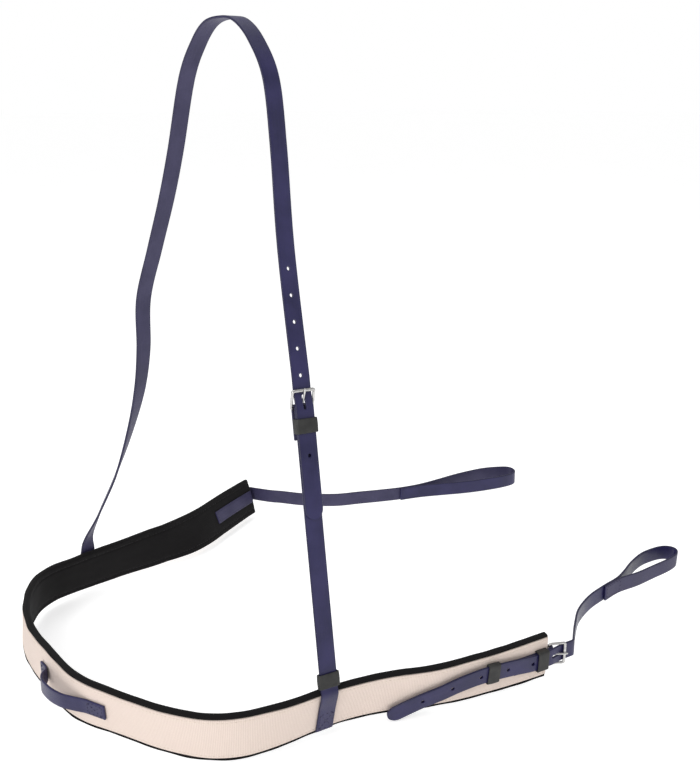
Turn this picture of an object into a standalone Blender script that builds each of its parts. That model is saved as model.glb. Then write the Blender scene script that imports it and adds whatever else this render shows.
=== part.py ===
"""Breast girth for a horse, built as its maker cuts and sews it.

A padded band goes round the chest, a neck strap over the withers holds it up, and the looped strap at
each end lets the saddle girth through. Metres: +X points to the tail, +Y to the off (right) side, +Z up.
The origin is the middle of the band's inner face at the centre of the chest. Distances "round the band"
start there and are negative on the near (left) side.
"""
import math

import bmesh
import bpy
from mathutils import Matrix, Vector

# ---- driving dimensions ------------------------------------------------------------------------------

GAP = 0.0003  # left between pieces that touch

BAND_END = 0.567  # from the centre of the chest to either end of the band
LINING_HEIGHT = 0.052
LINING_THICKNESS = 0.005
WEBBING_HEIGHT = 0.0445
WEBBING_THICKNESS = 0.0025
BAND_SLICE = 0.009

STRAP_WIDTH = 0.019
STRAP_THICKNESS = 0.0025
CENTRE_LOOP_WIDTH = 0.016
PATCH_WIDTH = 0.0175
PATCH_THICKNESS = 0.002
PATCH_LENGTH = 0.090
TIP_RADIUS = 0.010

HOLE_PITCH = 0.025
HOLE_DIAMETER = 0.0045
SLOT_WIDTH = 0.0034  # the hole in use is drawn out to this slot, so that the tongue can swing

WIRE = 0.0014  # radius of the buckle's wire
BUCKLE_WIDTH = 0.0232  # between the middles of the side bars
BUCKLE_LENGTH = 0.0175  # between the middles of the heel bar and the front bar
BUCKLE_CORNER = 0.002
TONGUE_RADIUS = 0.0012
TONGUE_LENGTH = 0.0208
TONGUE_TAPER = 0.75  # the tip's radius as a share of the root's
TONGUE_EYE = 0.0030  # outer radius of the eye that turns on the heel bar

KEEPER_LENGTH = 0.014
KEEPER_WALL = 0.0015
KEEPER_PLAY = 0.0005

# The band's plan on each side, from the chest back: (length, degrees of turn towards the tail).
NEAR_RUNS = ((0.023, 0), (0.055, 25), (0.055, -1.5), (0.055, 14), (0.055, 40), (0.055, 11.5),
             (0.109, -26), (0.055, 13), (0.105, 7.5))
OFF_RUNS = ((0.031, 0), (0.048, 9.5), (0.048, 13), (0.048, 16), (0.048, 41), (0.048, 3), (0.099, 1),
            (0.099, -22), (0.098, 5))
# How far the band's top edge tips away from the horse: (distance round the band, degrees).
LEAN = ((-0.567, 2), (-0.480, 7), (-0.420, 12.5), (-0.345, 15), (-0.300, 13.5), (-0.230, 7.5),
        (-0.116, 7), (-0.023, 0), (0.031, 0), (0.168, -7), (0.230, -13.5), (0.300, -9.5),
        (0.370, 2), (0.430, 22), (0.500, 20), (0.567, 15))
NECK_AT_NEAR = -0.3155  # round the band, where the neck strap is sewn on
NECK_AT_OFF = 0.263

# ---- places worked out from them ---------------------------------------------------------------------

UP = Vector((0, 0, 1))
ON_LINING = LINING_THICKNESS + GAP + WEBBING_THICKNESS / 2
ON_WEBBING = LINING_THICKNESS + GAP + WEBBING_THICKNESS + GAP + STRAP_THICKNESS / 2
LAYER = STRAP_THICKNESS + GAP  # from one strap to the next one laid on it
FOLD_RADIUS = WIRE + GAP + STRAP_THICKNESS / 2  # of a chape's middle line, round the heel bar
FOLD_TURN = 15  # degrees between slices round a fold
TIP_TURNS = (25, 48, 67, 80)  # degrees round a strap's rounded tip
SHARP_EDGE = math.radians(35)  # edges that turn less than this are shaded smooth

collection = None  # main makes both
cutters = None

# Colour, roughness and metallic value of each material.
STRAP = ((0.040, 0.032, 0.110), 0.42, 0.0)
LINING = ((0.014, 0.012, 0.014), 0.95, 0.0)
WEBBING = ((0.72, 0.60, 0.55), 0.85, 0.0)
KEEPER = ((0.040, 0.042, 0.040), 0.60, 0.0)
NICKEL = ((0.66, 0.66, 0.67), 0.22, 1.0)


# ---- courses -----------------------------------------------------------------------------------------
# A course is a list of (middle point, direction across) that a strap follows, and a station is
# (middle point, direction along, direction out of the strap's face).

def plan_station(runs, heading, hand, distance):
    """Point and heading DISTANCE along the runs; past the last run the course goes straight on."""
    x = y = 0.0
    for length, turn in runs:
        step = min(length, distance)
        curve = hand * math.radians(turn) / length
        if turn == 0:
            x += step * math.cos(heading)
            y += step * math.sin(heading)
        else:
            x += (math.sin(heading + curve * step) - math.sin(heading)) / curve
            y -= (math.cos(heading + curve * step) - math.cos(heading)) / curve
        heading += curve * step
        distance -= step
    return x + distance * math.cos(heading), y + distance * math.sin(heading), heading


def lean_at(distance):
    """The band's lean in radians, eased from each listed place to the next."""
    low, first = LEAN[0]
    for high, second in LEAN[1:]:
        if distance <= high:
            share = max(0.0, distance - low) / (high - low)
            eased = share * share * (3 - 2 * share)
            return math.radians(first + (second - first) * eased)
        low, first = high, second
    return math.radians(first)


def band_frame(distance):
    """The middle of the band's inner face there, and the directions up the band and out of it."""
    near = distance < 0
    runs, heading, hand = (NEAR_RUNS, -90, 1) if near else (OFF_RUNS, 90, -1)
    x, y, heading = plan_station(runs, math.radians(heading), hand, abs(distance))
    along = Vector((math.cos(heading), math.sin(heading), 0)) * (-1 if near else 1)
    level = UP.cross(along)
    lean = lean_at(distance)
    up = UP * math.cos(lean) + level * math.sin(lean)
    out = level * math.cos(lean) - UP * math.sin(lean)
    return Vector((x, y, 0)), up, out


def on_band(distance, outward, rise=0.0):
    """A point OUTWARD of the band's inner face and RISE up it."""
    point, up, out = band_frame(distance)
    return point + out * outward + up * rise


def round_band(start, end, outward, step=BAND_SLICE):
    """Stations round the band from START to END."""
    count = math.ceil(abs(end - start) / step)
    stations = []
    for i in range(count + 1):
        distance = start + (end - start) * i / count
        _, up, out = band_frame(distance)
        along = out.cross(up) * math.copysign(1, end - start)
        stations.append((on_band(distance, outward), along, out))
    return stations


def smooth(course, per_span):
    """A Catmull-Rom curve through a course."""
    ends = [course[0]] + course + [course[-1]]
    finer = []
    for before, start, end, after in zip(ends, ends[1:], ends[2:], ends[3:]):
        for i in range(per_span):
            t = i / per_span
            point = (start[0] * 2 + (end[0] - before[0]) * t
                     + (before[0] * 2 - start[0] * 5 + end[0] * 4 - after[0]) * t * t
                     + (start[0] * 3 - before[0] - end[0] * 3 + after[0]) * t ** 3) / 2
            finer.append((point, start[1].lerp(end[1], t)))
    return finer + [course[-1]]


def fold(point, along, side, radius):
    """A half turn towards SIDE, starting at the point."""
    centre = point + side * radius
    across = along.cross(side)
    turns = [math.radians(angle) for angle in range(0, 181, FOLD_TURN)]
    return [(centre + (along * math.sin(turn) - side * math.cos(turn)) * radius, across) for turn in turns]


def frames(course):
    """The stations of a course, square to it. The way out is the way across turned a quarter about it."""
    stations = []
    for i, (point, across) in enumerate(course):
        along = Vector()
        if i > 0:
            along += (point - course[i - 1][0]).normalized()
        if i < len(course) - 1:
            along += (course[i + 1][0] - point).normalized()
        along.normalize()
        stations.append((point, along, across.cross(along).normalized()))
    return stations


def length_of(stations):
    return sum((after[0] - before[0]).length for before, after in zip(stations, stations[1:]))


def station_at(stations, distance):
    """The station at a distance along the others."""
    for (point, along, out), (after, along_after, out_after) in zip(stations, stations[1:]):
        span = (after - point).length
        if distance <= span:
            share = distance / span
            along = along.lerp(along_after, share).normalized()
            out = out.lerp(out_after, share)
            return point.lerp(after, share), along, (out - along * out.dot(along)).normalized()
        distance -= span
    return stations[-1]


def seat(point, along, out):
    """Local X across the strap, Y along it and Z out of it."""
    return Matrix.Translation(point) @ Matrix((along.cross(out), along, out)).transposed().to_4x4()


# ---- making objects ----------------------------------------------------------------------------------

def material(name, finish):
    colour, roughness, metallic = finish
    made = bpy.data.materials.new(name)
    made.use_nodes = True
    shader = made.node_tree.nodes["Principled BSDF"]
    shader.inputs["Base Color"].default_value = (*colour, 1)
    shader.inputs["Roughness"].default_value = roughness
    shader.inputs["Metallic"].default_value = metallic
    made.diffuse_color = (*colour, 1)
    return made


def add(name, data, matrix, finish):
    obj = bpy.data.objects.new(name, data)
    obj.matrix_world = matrix
    if finish is None:
        cutters.objects.link(obj)
        obj.hide_render = True
        obj.display_type = "WIRE"
    else:
        collection.objects.link(obj)
        data.materials.append(material(name, finish))
        if isinstance(data, bpy.types.Mesh):
            data.shade_smooth()
            data.set_sharp_from_angle(angle=SHARP_EDGE)
    return obj


def mesh_from(shape, name, origin, finish):
    """An object from a bmesh in world coordinates, with its own origin."""
    data = bpy.data.meshes.new(name)
    bmesh.ops.translate(shape, verts=shape.verts, vec=-origin)
    shape.to_mesh(data)
    shape.free()
    return add(name, data, Matrix.Translation(origin), finish)


def strip(name, stations, thickness, width, finish, origin=None, tip=0.0):
    """A strap: a box cut into slices, one at each station, with a rounded end if TIP is given."""
    stations = [(*station, 1.0) for station in stations]
    if tip:
        point, along, out, _ = stations[-1]
        for angle in TIP_TURNS:
            turn = math.radians(angle)
            stations.append((point + along * tip * math.sin(turn), along, out, math.cos(turn)))
    shape = bmesh.new()
    bmesh.ops.create_cube(shape, size=1, matrix=Matrix.Translation((0.5, 0, 0)))
    last = len(stations) - 1
    bmesh.ops.scale(shape, verts=shape.verts, vec=(last, 1, 1))
    for i in range(1, last):
        whole = shape.verts[:] + shape.edges[:] + shape.faces[:]
        bmesh.ops.bisect_plane(shape, geom=whole, plane_co=(i, 0, 0), plane_no=(1, 0, 0))
    # Both faces are split along the same diagonals, so that layers of a twisting band stay apart.
    corner = {tuple(round(c * 2) for c in vert.co): vert for vert in shape.verts}
    for i in range(0, 2 * last, 2):
        for face in (-1, 1):
            bmesh.ops.connect_verts(shape, verts=[corner[i, face, -1], corner[i + 2, face, 1]])
    for vert in shape.verts:
        point, along, out, share = stations[round(vert.co.x)]
        across = along.cross(out)
        vert.co = point + out * (vert.co.y * thickness) + across * (vert.co.z * width * share)
    return mesh_from(shape, name, origin or stations[0][0].copy(), finish)


def cut(obj, cutter):
    modifier = obj.modifiers.new(cutter.name, "BOOLEAN")
    modifier.object = cutter
    modifier.operation = "DIFFERENCE"


def punch(obj, stations, distances):
    """Round holes through a strap at these distances along it."""
    shape = bmesh.new()
    for distance in distances:
        bmesh.ops.create_cone(shape, cap_ends=True, segments=12, radius1=HOLE_DIAMETER / 2,
                              radius2=HOLE_DIAMETER / 2, depth=4 * STRAP_THICKNESS,
                              matrix=seat(*station_at(stations, distance)))
    cut(obj, mesh_from(shape, obj.name + "_holes", Vector(), None))


def box_cut(obj, matrix, low, high, label):
    """Cuts away the box between two corners given in the matrix's axes."""
    low, high = Vector(low), Vector(high)
    middle = Matrix.Translation((low + high) / 2) @ Matrix.Diagonal((*(high - low), 1))
    shape = bmesh.new()
    bmesh.ops.create_cube(shape, size=1, matrix=matrix @ middle)
    cut(obj, mesh_from(shape, obj.name + label, Vector(), None))


def rounded(width, height, radius, per_corner=4):
    """The outline of a rectangle with rounded corners about the origin."""
    outline = []
    for corner, (right, top) in enumerate(((1, 1), (-1, 1), (-1, -1), (1, -1))):
        for i in range(per_corner + 1):
            angle = math.radians(90 * (corner + i / per_corner))
            outline.append((right * (width / 2 - radius) + radius * math.cos(angle),
                            top * (height / 2 - radius) + radius * math.sin(angle)))
    return outline


def curve_of(name, outlines, flat):
    data = bpy.data.curves.new(name, "CURVE")
    data.dimensions = "2D" if flat else "3D"
    for outline in outlines:
        spline = data.splines.new("POLY")
        spline.points.add(len(outline) - 1)
        for point, (x, y) in zip(spline.points, outline):
            point.co = (x, y, 0, 1)
        spline.use_cyclic_u = True
    return data


def ring(name, point, along, out, outlines, finish):
    """A keeper: a flat outline, X out of the strap and Y across it, drawn out along the strap."""
    data = curve_of(name, outlines, flat=True)
    data.fill_mode = "BOTH"
    data.extrude = KEEPER_LENGTH / 2
    axes = Matrix((out, along.cross(out), along)).transposed().to_4x4()
    return add(name, data, Matrix.Translation(point) @ axes, finish)


def keeper(name, point, along, out, layers):
    """A rubber runner round one or two layers of strap."""
    hole = (layers * LAYER - GAP + 2 * KEEPER_PLAY, STRAP_WIDTH + 2 * KEEPER_PLAY)
    outer = rounded(hole[0] + 2 * KEEPER_WALL, hole[1] + 2 * KEEPER_WALL, 2 * KEEPER_WALL)
    return ring(name, point, along, out, (outer, rounded(*hole, KEEPER_WALL / 2)), KEEPER)


# ---- the buckle, the same at both places -------------------------------------------------------------

BILLET_OVER_HEEL = FOLD_RADIUS + LAYER  # middle of the billet, above the heel bar's middle
BILLET_UNDER_FRONT = 0.0032  # and where it passes below the front bar
FRONT_HEIGHT = BILLET_UNDER_FRONT + STRAP_THICKNESS / 2 + GAP + WIRE
FRAME_TILT = math.asin(FRONT_HEIGHT / BUCKLE_LENGTH)
FRONT_REACH = BUCKLE_LENGTH * math.cos(FRAME_TILT)
TONGUE_TILT = math.atan((FRONT_HEIGHT + WIRE + GAP + TONGUE_RADIUS) / FRONT_REACH)
CHAPE_SLOT = 0.0042  # how far the chape is slotted back from the heel bar
BILLET_SLOT = (-0.0016, 0.0126)  # the billet's slot, along from the heel bar's middle
SLOT_DEPTH = (0.001, 0.014)  # its cutter's reach out from there, clear of the chape's far side
THROUGH = 0.010  # how far a cutter runs past what it cuts
NECK_REACH = 0.030  # the neck billet runs straight this far past the heel bar


def through_buckle(heel, along, out, reach):
    """The billet's course from over the heel bar to REACH past it, dipping below the front bar."""
    across = along.cross(out)
    profile = ((0.0, BILLET_OVER_HEEL), (0.003, BILLET_OVER_HEEL - 0.0006),
               (0.0115, BILLET_UNDER_FRONT + 0.0006), (0.0145, BILLET_UNDER_FRONT),
               (reach, BILLET_UNDER_FRONT))
    return [(heel + along * x + out * height, across) for x, height in profile]


def chape_end(heel, along, out, back):
    """The chape's course from BACK behind the heel bar, round the bar and back below it."""
    across = along.cross(out)
    turn = fold(heel + out * FOLD_RADIUS, along, -out, FOLD_RADIUS)
    turn = [(point, across) for point, _ in turn]
    return ([(turn[0][0] - along * back, across)] + turn + [(turn[-1][0] - along * back, across)])


def buckle(prefix, heel, along, out):
    frame_seat = seat(heel, along, out) @ Matrix.Rotation(FRAME_TILT, 4, "X")
    outline = [(x, y + BUCKLE_LENGTH / 2) for x, y in rounded(BUCKLE_WIDTH, BUCKLE_LENGTH, BUCKLE_CORNER)]
    data = curve_of(prefix + "_buckle_frame", (outline,), flat=False)
    data.bevel_depth = WIRE
    data.bevel_resolution = 2
    add(prefix + "_buckle_frame", data, frame_seat, NICKEL)
    tongue(prefix + "_buckle_tongue", seat(heel, along, out) @ Matrix.Rotation(TONGUE_TILT, 4, "X"))


def tongue(name, place):
    """A tapered pin joined to an eye that turns on the heel bar."""
    shape = bmesh.new()
    inner = WIRE + GAP
    root = (inner + TONGUE_EYE) / 2
    length = TONGUE_LENGTH - root
    lying = Matrix.Translation((0, root + length / 2, 0)) @ Matrix.Rotation(-math.pi / 2, 4, "X")
    bmesh.ops.create_cone(shape, cap_ends=True, segments=12, radius1=TONGUE_RADIUS,
                          radius2=TONGUE_TAPER * TONGUE_RADIUS, depth=length, matrix=lying)
    data = bpy.data.meshes.new(name)
    shape.to_mesh(data)
    shape.free()
    pin = add(name, data, place, NICKEL)
    eye = bmesh.new()
    half = 1.2 * TONGUE_RADIUS
    corners = [eye.verts.new(corner) for corner in ((-half, inner, 0), (half, inner, 0),
                                                    (half, TONGUE_EYE, 0), (-half, TONGUE_EYE, 0))]
    sides = [eye.edges.new((corners[i - 1], corners[i])) for i in range(4)]
    bmesh.ops.spin(eye, geom=corners + sides, cent=(0, 0, 0), axis=(1, 0, 0), angle=2 * math.pi,
                   steps=20, use_merge=True)
    bmesh.ops.recalc_face_normals(eye, faces=eye.faces)
    data = bpy.data.meshes.new(name + "_eye")
    eye.to_mesh(data)
    eye.free()
    join = pin.modifiers.new("eye", "BOOLEAN")
    join.object = add(name + "_eye", data, place, None)
    join.operation = "UNION"


# ---- the band ----------------------------------------------------------------------------------------

def band():
    strip("band_lining", round_band(-BAND_END, BAND_END, LINING_THICKNESS / 2), LINING_THICKNESS,
          LINING_HEIGHT, LINING)
    strip("band_webbing", round_band(-BAND_END, BAND_END, ON_LINING), WEBBING_THICKNESS,
          WEBBING_HEIGHT, WEBBING)


def inner_patch(name, side):
    """The patch inside each end that backs the stitching of the girth strap."""
    depth = -(GAP + PATCH_THICKNESS / 2)
    start, end = side * (BAND_END - 0.002), side * (BAND_END - 0.002 - PATCH_LENGTH)
    strip(name, round_band(start, end, depth), PATCH_THICKNESS, PATCH_WIDTH, STRAP)


# The centre loop stands off the band: (distance round the band, outward from its place on the webbing).
CENTRE_LOOP = ((-0.092, 0.0), (-0.080, 0.0), (-0.068, 0.0005), (-0.057, 0.004), (-0.045, 0.0085),
               (-0.032, 0.0112), (-0.020, 0.0120), (-0.010, 0.0112), (-0.002, 0.0075), (0.003, 0.0020),
               (0.009, 0.0), (0.020, 0.0))


def centre_course():
    return frames(smooth([(on_band(distance, ON_WEBBING + outward), band_frame(distance)[1])
                          for distance, outward in CENTRE_LOOP], 4))


def centre_loop():
    strip("centre_loop", centre_course(), STRAP_THICKNESS, CENTRE_LOOP_WIDTH, STRAP)


# ---- the neck strap ----------------------------------------------------------------------------------

NECK_HEEL = Vector((0.195, -0.161, 0.286))  # the buckle's heel bar
FOOT_RISE = 0.023  # the near strap leaves the band here, near its top edge
FOOT_OUT = 0.0100
NECK_TAIL = 0.095  # the billet hangs this far below the heel bar before its rounded tip
NECK_HOLES = (-2, -1, 1, 2, 3, 4, 5)  # in hole pitches above the buckle
CHAPE_TURNED_BACK = 0.030
KEEPER_BELOW_HEEL = 0.0165
BAND_KEEPER_RISE = 0.0150  # above the foot

# Over the withers and down the off side: place in millimetres, and the heading of the strap's width.
WITHERS = ((208, -120, 428, 0), (216, -99, 518, 2), (219, -84, 580, 2), (219, -60, 615, 2),
           (218, -36, 633, 2), (217, -12, 637, 2), (214, 13, 633, 2), (210, 32, 615, 2),
           (203, 47, 581, 2), (194, 60, 512, 2), (185, 69, 461, 3), (177, 87, 406, 5),
           (168, 102, 351, 7), (164, 101, 296, 12), (158, 104, 250, 24), (149, 116, 200, 42),
           (139, 140, 142, 60), (128, 171, 86, 58), (120, 193, 47, 35))


def heading(degrees):
    return Vector((math.cos(math.radians(degrees)), math.sin(math.radians(degrees)), 0))


def neck_chape(foot, along, out):
    """The short strap sewn to the near side of the band, folded round the buckle's heel bar."""
    across = along.cross(out)
    lower = [(on_band(NECK_AT_NEAR, ON_WEBBING, rise), across) for rise in (-0.0222, -0.008, 0.006)]
    leaving = [(foot + along * rise, across) for rise in (0.0, 0.006, 0.012, 0.030)]
    upper = chape_end(NECK_HEEL, along, out, CHAPE_TURNED_BACK)
    return frames(smooth(lower + leaving, 4) + upper)


def neck_billet(along, out):
    """The long strap with the holes, from its rounded tip up over the withers and down to the off side."""
    over = through_buckle(NECK_HEEL, along, out, NECK_REACH)
    tail = (NECK_HEEL - along * NECK_TAIL + out * BILLET_OVER_HEEL, over[0][1])
    withers = [(Vector((x, y, z)) / 1000, heading(degrees)) for x, y, z, degrees in WITHERS]
    _, up, band_out = band_frame(NECK_AT_OFF)
    off_way = -up.cross(band_out)
    down = [(on_band(NECK_AT_OFF, ON_WEBBING, rise), off_way) for rise in (0.025, 0.010, -0.0225)]
    course = [tail] + over[:-1] + smooth([over[-1]] + withers + down, 6)
    return frames([(point, -across) for point, across in reversed(course)])


def neck_line():
    """Where the near strap leaves the band, the way up it to the buckle and the way out of its face."""
    foot = on_band(NECK_AT_NEAR, FOOT_OUT, FOOT_RISE)
    out = band_frame(NECK_AT_NEAR)[2]
    for _ in range(2):
        along = (NECK_HEEL + out * FOLD_RADIUS - foot).normalized()
        out = (out - along * out.dot(along)).normalized()
    return foot, along, out


def neck_strap():
    foot, along, out = neck_line()
    half = SLOT_WIDTH / 2
    buckle_seat = seat(NECK_HEEL, along, out)

    near = strip("near_neck_strap", neck_chape(foot, along, out), STRAP_THICKNESS, STRAP_WIDTH, STRAP)
    box_cut(near, buckle_seat, (-half, -CHAPE_SLOT, -THROUGH), (half, THROUGH, THROUGH), "_slot")
    billet = neck_billet(along, out)
    off = strip("off_neck_strap", billet, STRAP_THICKNESS, STRAP_WIDTH, STRAP, tip=TIP_RADIUS)
    in_use = length_of(billet) - NECK_TAIL - sum(BILLET_SLOT) / 2
    punch(off, billet, [in_use - pitch * HOLE_PITCH for pitch in NECK_HOLES])
    box_cut(off, buckle_seat, (-half, BILLET_SLOT[0], SLOT_DEPTH[0]),
            (half, BILLET_SLOT[1], SLOT_DEPTH[1]), "_slot")

    buckle("neck", NECK_HEEL, along, out)
    middle = NECK_HEEL + out * (FOLD_RADIUS + LAYER / 2)
    keeper("neck_keeper", middle - along * KEEPER_BELOW_HEEL, along, out, 2)
    keeper("band_keeper", foot + along * BAND_KEEPER_RISE, along, out, 1)


# ---- the near girth strap: chape, buckle, billet and its loop ----------------------------------------

HEEL_PAST_END = 0.0035  # the heel bar's distance past the band's end
CHAPE_ON_BAND = 0.044
BILLET_PAST_HEEL = 0.0315  # from the heel bar to the crease where the free strap turns
CREASE_GAP = 0.0014  # a strap stops this far short of its crease on each side
# The billet's tail on the band: distance round the band, and how far its middle has dropped.
NEAR_TAIL = ((-0.394, -0.0220), (-0.4165, -0.0110), (-0.4370, -0.0040), (-0.4570, 0.0018),
             (-0.4790, 0.0046), (-0.5020, 0.0046), (-0.5220, 0.0030), (-0.5450, 0.0002), (-0.562, 0.0))
NEAR_HOLES = (1, 2, 3, 4, 5)
NEAR_PITCH = 0.0325  # the girth strap is punched more widely than the neck strap
SLIDING_KEEPER_AT = -0.494
FIXED_KEEPER_AT = -0.5565

# The free straps in plan and height, in millimetres, from past the crease round the loop to the end that
# is sewn back on. The third number is the height and the fourth is how far the strap's top edge tips.
NEAR_LOOP = ((471, -274, -2.5, 0), (491, -259, -3.5, 0), (517, -242, -3, 0), (548, -231.5, -1, 0),
             (578, -228, 1.2, 0), (606, -225.5, 2, 0), (628, -219, 2.5, 2), (650, -211.5, 4, 4),
             (675, -207, 6.5, 5), (695, -208, 7.7, 5), (711, -212, 8.2, 5), (719.5, -219, 7.8, 5),
             (721, -226, 6.5, 5), (714, -231.5, 4.6, 5), (697, -232.5, 2.8, 5), (671, -230.5, 1, 4),
             (640, -230, 0.5, 2), (606, -228.6, 2, 0), (577, -231.1, 1.2, 0))
OFF_LOOP = ((426, 260, 3, 0), (437, 245, 3.5, 0), (457, 217, 4, 0), (490, 187, 4.5, 0),
            (524, 172, 4.5, 0), (553, 162, 3.5, 0), (585, 153, 2.2, 0), (615, 146.5, 2, 0),
            (646, 143.5, 2.4, 0), (692, 141, 3.1, 0), (735, 134, 3.5, 0), (763, 123, 3, 0),
            (775, 115, 2, 0), (776, 105, 0.5, 0), (766, 98, -0.5, 0), (741, 99.5, -0.5, 0),
            (708, 108, -0.5, 0), (680, 117, 0, 0), (648, 129, 1, 0), (615, 141, 2, 0), (584, 149.9, 2.2, 0))
TIP_WAY = Vector((-0.6, -0.8, 0))  # the loops' top edges tip this way


def straight_on(side):
    """The middle of the band's end, the way straight on from it and the level way out."""
    point, _, _ = band_frame(side * BAND_END)
    beyond, _, _ = band_frame(side * 2 * BAND_END)
    along = (beyond - point).normalized()
    return point, along, along.cross(UP) * -side


def near_billet(heel, along, out):
    """From just short of the crease, under the front bar and over the heel bar, to the tail's tip."""
    tail = [(on_band(place, ON_WEBBING + LAYER, drop), -band_frame(place)[1]) for place, drop in NEAR_TAIL]
    course = smooth(tail, 3) + through_buckle(heel, along, out, BILLET_PAST_HEEL - CREASE_GAP)
    return frames([(point, -direction) for point, direction in reversed(course)])


def near_line():
    """The heel bar of the near girth buckle, the way on from it and the way out."""
    end, along, out = straight_on(-1)
    return end + along * HEEL_PAST_END + out * (ON_WEBBING - FOLD_RADIUS), along, out


def near_chape(heel, along, out):
    return (round_band(-BAND_END + CHAPE_ON_BAND, -BAND_END, ON_WEBBING)
            + frames(chape_end(heel, along, out, HEEL_PAST_END - 0.0018)))


def near_girth():
    heel, along, out = near_line()
    half = SLOT_WIDTH / 2
    buckle_seat = seat(heel, along, out)

    chape = strip("near_girth_chape", near_chape(heel, along, out), STRAP_THICKNESS, STRAP_WIDTH, STRAP)
    box_cut(chape, buckle_seat, (-half, -CHAPE_SLOT, -THROUGH), (half, THROUGH, THROUGH), "_slot")

    billet = near_billet(heel, along, out)
    strap = strip("near_girth_billet", billet, STRAP_THICKNESS, STRAP_WIDTH, STRAP, tip=TIP_RADIUS)
    in_use = BILLET_PAST_HEEL - CREASE_GAP - sum(BILLET_SLOT) / 2
    punch(strap, billet, [in_use + pitch * NEAR_PITCH for pitch in NEAR_HOLES])
    box_cut(strap, buckle_seat, (-half, BILLET_SLOT[0], SLOT_DEPTH[0]),
            (half, BILLET_SLOT[1], SLOT_DEPTH[1]), "_slot")

    buckle("near", heel, along, out)
    near_keepers(billet)
    crease = near_crease(heel, along, out)
    strip("near_girth_loop", loop_course(crease, NEAR_LOOP), STRAP_THICKNESS, STRAP_WIDTH, STRAP,
          origin=crease)


def near_crease(heel, along, out):
    return heel + along * BILLET_PAST_HEEL + out * BILLET_UNDER_FRONT


def near_keepers(billet):
    place = on_band(SLIDING_KEEPER_AT, ON_WEBBING + LAYER)
    keeper("near_sliding_keeper", *min(billet, key=lambda station: (station[0] - place).length), 1)
    _, up, out = band_frame(FIXED_KEEPER_AT)
    foot = on_band(FIXED_KEEPER_AT, LINING_THICKNESS + WEBBING_THICKNESS + 2 * GAP)
    height = 2 * LAYER + KEEPER_PLAY
    half = STRAP_WIDTH / 2 + KEEPER_PLAY
    wide, high, corner = half + KEEPER_WALL, height + KEEPER_WALL, KEEPER_WALL / 2
    bridge = [(0, wide), (high - corner, wide), (high, wide - corner), (high, corner - wide),
              (high - corner, -wide), (0, -wide), (0, -half), (height, -half), (height, half), (0, half)]
    ring("near_fixed_keeper", foot, up.cross(out), out, (bridge,), KEEPER)


def loop_course(crease, places):
    """The free strap from just past its crease, out round the loop and back to its sewn end."""
    course = []
    for x, y, z, tip in places:
        turn = math.radians(tip)
        course.append((Vector((x, y, z)) / 1000, UP * math.cos(turn) + TIP_WAY * math.sin(turn)))
    start = crease + (course[0][0] - crease).normalized() * CREASE_GAP
    return frames(smooth([(start, UP)] + course, 4))


# ---- the off girth strap, sewn straight to the band --------------------------------------------------

OFF_PAST_END = 0.008
OFF_ON_BAND = 0.090


def off_anchor():
    """The stations of the part sewn to the band, and the crease just past the band's end."""
    end, along, out = straight_on(1)
    crease = end + along * OFF_PAST_END + out * ON_WEBBING
    stations = round_band(BAND_END - OFF_ON_BAND, BAND_END, ON_WEBBING)
    return stations + [(crease - along * CREASE_GAP, along, out)], crease


def off_girth():
    stations, crease = off_anchor()
    strip("off_girth_anchor", stations, STRAP_THICKNESS, STRAP_WIDTH, STRAP)
    strip("off_girth_loop", loop_course(crease, OFF_LOOP), STRAP_THICKNESS, STRAP_WIDTH, STRAP,
          origin=crease)


def main():
    global collection, cutters
    for obj in list(bpy.data.objects):
        bpy.data.objects.remove(obj)
    collection = bpy.data.collections.new("breast_girth")
    cutters = bpy.data.collections.new("cutters")
    cutters.hide_render = True
    bpy.context.scene.collection.children.link(collection)
    bpy.context.scene.collection.children.link(cutters)
    band()
    inner_patch("near_inner_patch", -1)
    inner_patch("off_inner_patch", 1)
    centre_loop()
    neck_strap()
    near_girth()
    off_girth()


main()
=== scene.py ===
"""The look of the breast girth: swept straps, padded lining, webbing, stitching, buckles and keepers.

Every course is the one its CAD solid follows, so each piece lies where its node lies.
"""
import math

import bmesh
import bpy
import numpy as np
from mathutils import Matrix, Vector
from mathutils.noise import noise


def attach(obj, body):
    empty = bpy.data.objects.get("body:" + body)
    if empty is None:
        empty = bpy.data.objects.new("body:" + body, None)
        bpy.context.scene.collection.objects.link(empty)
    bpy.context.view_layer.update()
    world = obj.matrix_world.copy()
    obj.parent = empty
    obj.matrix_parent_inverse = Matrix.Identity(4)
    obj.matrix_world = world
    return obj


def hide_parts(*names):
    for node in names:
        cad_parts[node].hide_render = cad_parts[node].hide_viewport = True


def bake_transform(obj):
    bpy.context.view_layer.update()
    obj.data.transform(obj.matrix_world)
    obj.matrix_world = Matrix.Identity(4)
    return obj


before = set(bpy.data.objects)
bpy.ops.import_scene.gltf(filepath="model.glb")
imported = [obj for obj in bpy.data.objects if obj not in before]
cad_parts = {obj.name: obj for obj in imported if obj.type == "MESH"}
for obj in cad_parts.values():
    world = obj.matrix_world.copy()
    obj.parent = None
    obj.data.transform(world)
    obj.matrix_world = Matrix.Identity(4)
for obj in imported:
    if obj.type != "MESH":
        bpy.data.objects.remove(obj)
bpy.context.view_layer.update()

GAP = 0.0003  # left between pieces that touch
BAND_END = 0.567  # from the centre of the chest to either end of the band
LINING_HEIGHT = 0.052
LINING_THICKNESS = 0.005
WEBBING_HEIGHT = 0.0445
WEBBING_THICKNESS = 0.0025
BAND_SLICE = 0.009
STRAP_WIDTH = 0.019
STRAP_THICKNESS = 0.0025
CENTRE_LOOP_WIDTH = 0.016
PATCH_WIDTH = 0.0175
PATCH_THICKNESS = 0.002
PATCH_LENGTH = 0.090
PATCH_FROM_END = 0.002
TIP_RADIUS = 0.010
HOLE_PITCH = 0.025
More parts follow.
